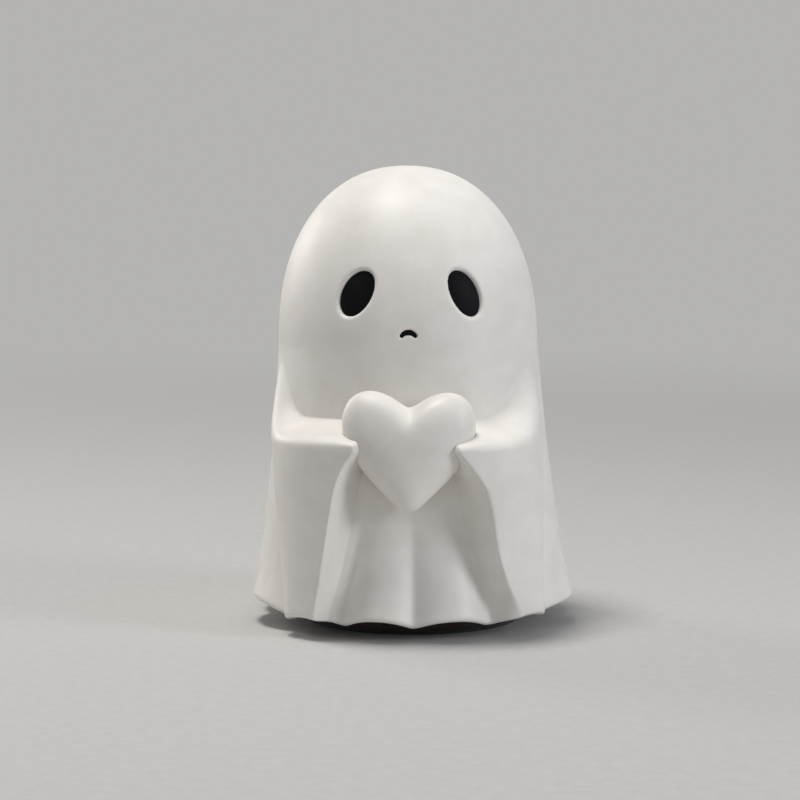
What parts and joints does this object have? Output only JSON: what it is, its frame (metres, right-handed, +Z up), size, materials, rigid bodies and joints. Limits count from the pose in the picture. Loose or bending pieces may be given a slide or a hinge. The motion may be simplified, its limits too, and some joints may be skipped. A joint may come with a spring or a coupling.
{
  "type": "ceramic ghost figure",
  "caption": "Standing ceramic sheet ghost with draped sleeves that hold a puffed heart at its chest, on a recessed foot.",
  "frame": {"origin": "on the table, at the centre of the foot", "axes": "+Z up the figure, the face looks along -Y, +X to the right of a viewer who faces it"},
  "size_m": [0.0829, 0.0871, 0.118],
  "materials": {
    "glaze": "satin white glaze on stoneware",
    "dark_glaze": "satin near-black glaze",
    "bisque": "unglazed dark stoneware",
    "felt": "felt"
  },
  "bodies": {
    "root": {"body_shell": "glaze", "left_sleeve": "glaze", "right_sleeve": "glaze", "heart": "glaze", "left_eye": "dark_glaze", "right_eye": "dark_glaze", "mouth": "dark_glaze", "base_plate": "bisque", "felt_pad": "felt"}
  },
  "joints": []
}
